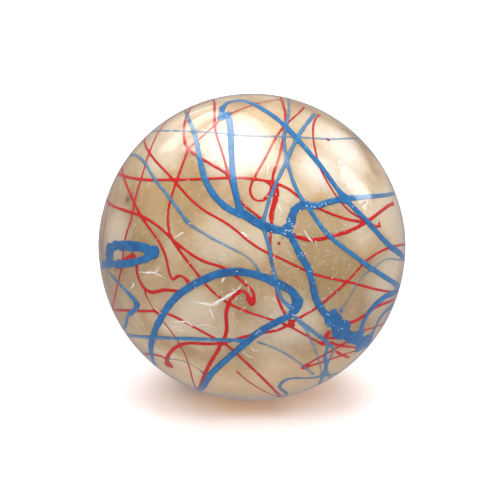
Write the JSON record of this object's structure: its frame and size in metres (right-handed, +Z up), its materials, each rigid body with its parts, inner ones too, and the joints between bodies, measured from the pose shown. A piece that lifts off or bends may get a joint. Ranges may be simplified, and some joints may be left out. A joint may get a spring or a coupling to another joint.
{
  "type": "bouncy ball",
  "caption": "Solid rubber bouncy ball: pearl core with red and blue drizzled paint under a clear cover moulded in two halves.",
  "frame": {"origin": "centre of the ball", "axes": "+Z up, the drizzle's front face towards -Y and 20 degrees up, the covers' parting plane is y = 0"},
  "size_m": [0.0452, 0.045, 0.0452],
  "materials": {
    "pearl_rubber": "pearlescent cream",
    "red_paint": "red paint",
    "blue_paint": "blue paint",
    "clear_rubber": "clear gloss rubber"
  },
  "bodies": {
    "root": {"core": "pearl_rubber", "red_drizzle": "red_paint", "blue_drizzle": "blue_paint", "front_cover": "clear_rubber", "rear_cover": "clear_rubber"}
  },
  "joints": []
}
